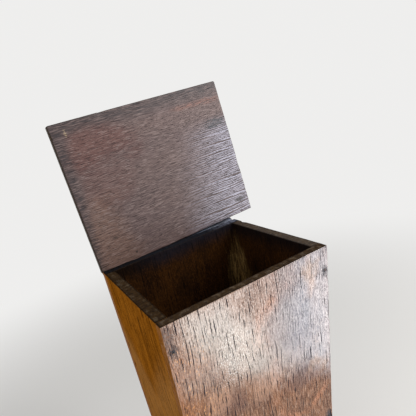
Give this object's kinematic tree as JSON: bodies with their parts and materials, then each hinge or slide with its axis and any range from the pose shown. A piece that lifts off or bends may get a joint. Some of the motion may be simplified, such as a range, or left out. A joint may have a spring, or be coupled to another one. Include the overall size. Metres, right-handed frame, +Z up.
{
  "type": "candle box",
  "caption": "Tall tapered oak candle box, open at the top, nailed from plain boards, with a flat overhanging lid that swings on a leather strip hinge.",
  "frame": {"origin": "centre of the box's flat base, on the surface it stands on", "axes": "+Z up along the box, -Y out of the leaning front board, +X to the right of someone who faces the front"},
  "size_m": [0.1812, 0.1597, 0.5247],
  "materials": {
    "oak_front": "waxed open-grain oak with a silvery sheen",
    "oak_side": "waxed honey-brown oak",
    "oak_back": "dark unpolished oak",
    "oak_lid": "grey-brown bare oak, dark at its border",
    "hinge_leather": "blue-black worn leather",
    "nail_iron": "dark wrought iron"
  },
  "bodies": {
    "box": {"back_board": "oak_back", "back_left_nail_1": "nail_iron", "back_left_nail_2": "nail_iron", "back_left_nail_3": "nail_iron", "back_right_nail_1": "nail_iron", "back_right_nail_2": "nail_iron", "back_right_nail_3": "nail_iron", "bottom_back_nail_1": "nail_iron", "bottom_back_nail_2": "nail_iron", "bottom_board": "oak_back", "bottom_front_nail_1": "nail_iron", "bottom_front_nail_2": "nail_iron", "bottom_left_nail_1": "nail_iron", "bottom_right_nail_1": "nail_iron", "box_tack_1": "nail_iron", "box_tack_2": "nail_iron", "box_tack_3": "nail_iron", "box_tack_4": "nail_iron", "box_tack_5": "nail_iron", "front_board": "oak_front", "front_left_nail_1": "nail_iron", "front_left_nail_2": "nail_iron", "front_left_nail_3": "nail_iron", "front_right_nail_1": "nail_iron", "front_right_nail_2": "nail_iron", "front_right_nail_3": "nail_iron", "hinge_fold": "hinge_leather", "hinge_leaf_box": "hinge_leather", "left_side": "oak_side", "right_side": "oak_side"},
    "lid": {"hinge_leaf_lid": "hinge_leather", "lid": "oak_lid", "lid_tack_1": "nail_iron", "lid_tack_2": "nail_iron", "lid_tack_3": "nail_iron", "lid_tack_4": "nail_iron", "lid_tack_5": "nail_iron"}
  },
  "joints": [
    {"name": "lid_hinge", "type": "hinge", "parent": "box", "child": "lid", "pos_m": [0, 0.04448, 0.38], "axis": [1, 0, 0], "range_deg": [0, 95.4], "deforming": ["hinge_fold"]}
  ]
}
